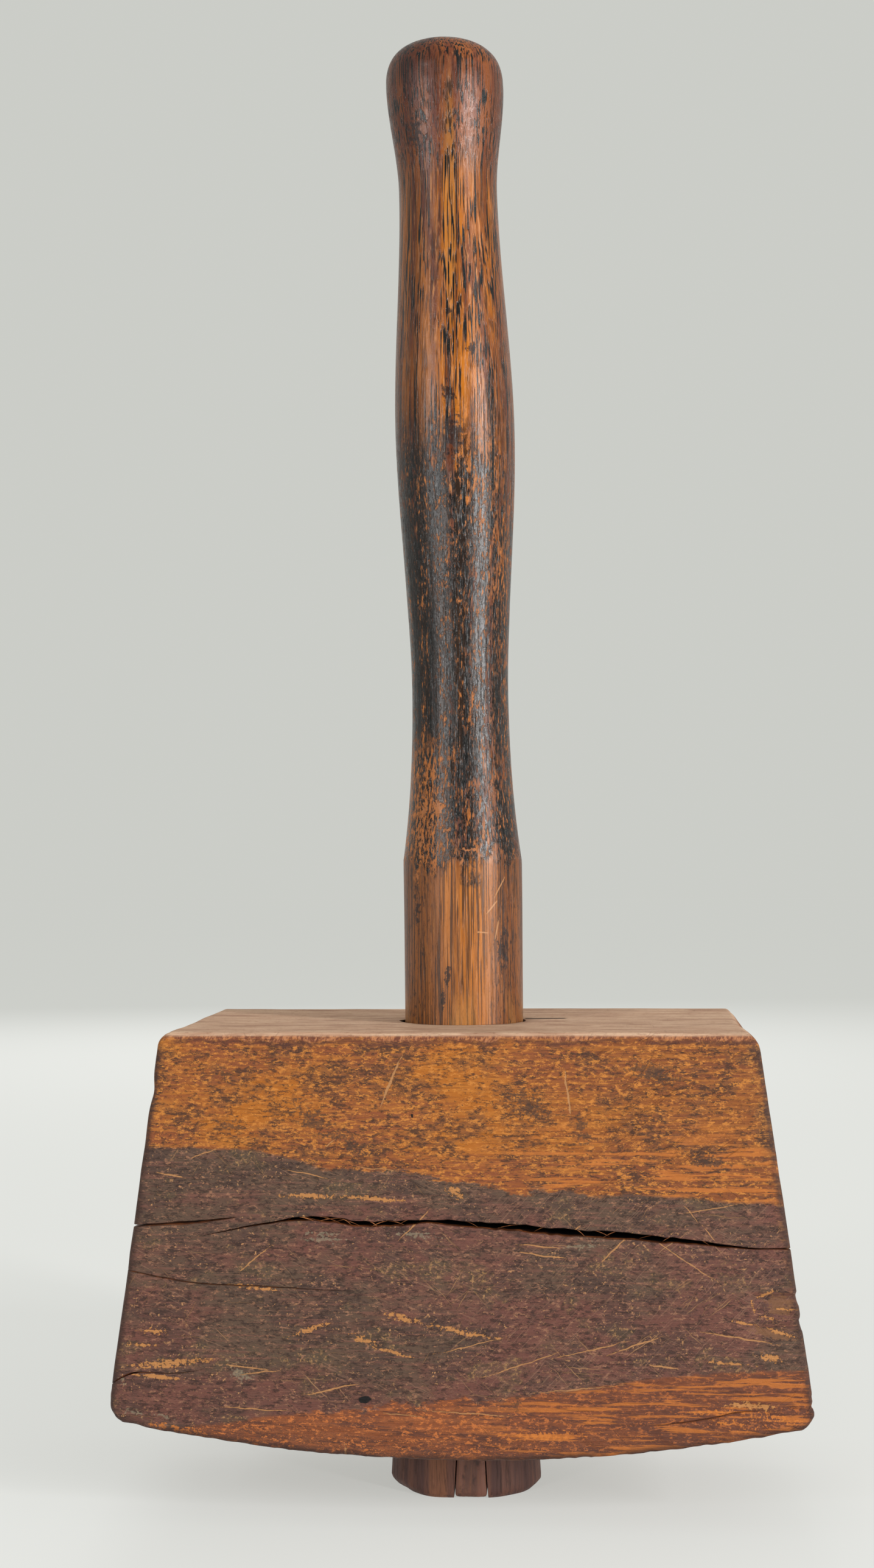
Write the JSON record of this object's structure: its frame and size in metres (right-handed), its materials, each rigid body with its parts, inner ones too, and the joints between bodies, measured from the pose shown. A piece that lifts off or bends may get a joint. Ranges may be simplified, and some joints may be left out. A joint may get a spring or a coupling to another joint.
{
  "type": "wooden mallet",
  "caption": "Carpenter's wooden mallet: block head with a crowned end and slanted striking faces, turned round handle wedged through the eye.",
  "frame": {"origin": "on the tenon's axis at the flat end of the stub, the lowest point when the mallet stands with its grip up", "axes": "+Z along the tenon from the stub to the grip, X along the head's length between the striking faces, Y through the head's thickness from cheek to cheek"},
  "size_m": [0.18, 0.0856, 0.401],
  "materials": {
    "head_timber": "dense red-brown timber with a darker heartwood band, worn and unvarnished, with drying checks along the grain",
    "handle_timber": "ring-porous timber with dark lengthwise pores, polished by the hand, with near-black patina on the swell",
    "wedge_timber": "dull dark timber, end worn flush with the stub"
  },
  "bodies": {
    "root": {"head": "head_timber", "handle": "handle_timber", "wedge": "wedge_timber"}
  },
  "joints": []
}
